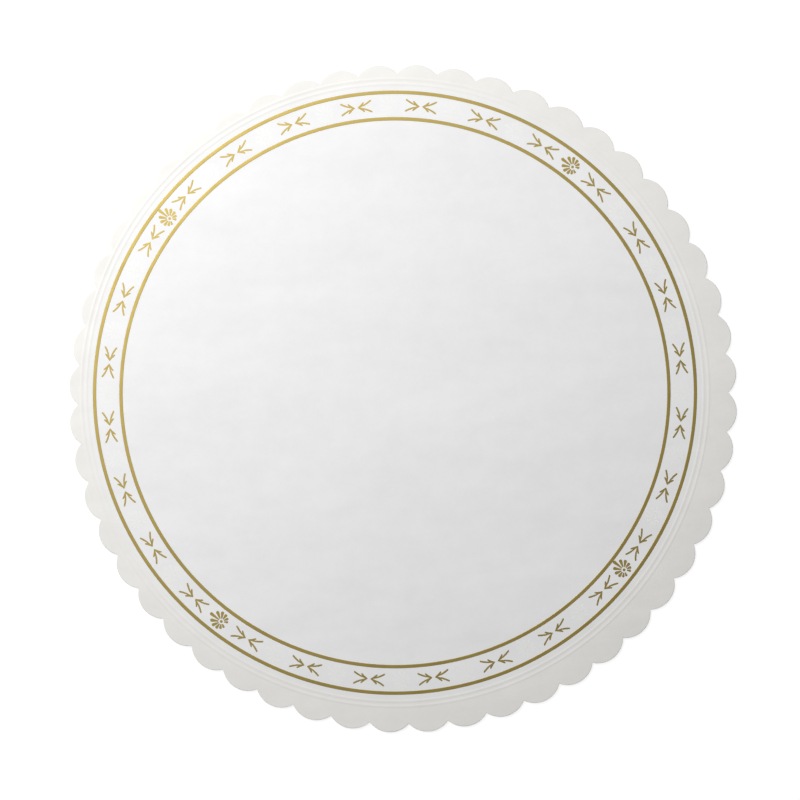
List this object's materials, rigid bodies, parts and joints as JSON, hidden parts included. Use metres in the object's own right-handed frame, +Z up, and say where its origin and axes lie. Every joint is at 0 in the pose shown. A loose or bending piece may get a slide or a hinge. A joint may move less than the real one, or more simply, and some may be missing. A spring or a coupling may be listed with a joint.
{
  "type": "cake board",
  "caption": "Flat round card board with a scalloped die-cut edge, an embossed double bead and a gilt border of rings, sprigs and daisies, to stand a cake on.",
  "frame": {"origin": "middle of the flat underside, on the surface that the board lies on", "axes": "+Z up through the thickness, out of the printed face; +Y towards the top of the reference picture; +X to its right"},
  "size_m": [0.2998, 0.2998, 0.0016],
  "materials": {
    "card": "smooth white coated card with a soft satin sheen",
    "foil": "thin hot-stamped gold foil with a soft gloss, on the rings, sprigs and daisies of the border"
  },
  "bodies": {
    "root": {"cake_board": "card"}
  },
  "joints": []
}
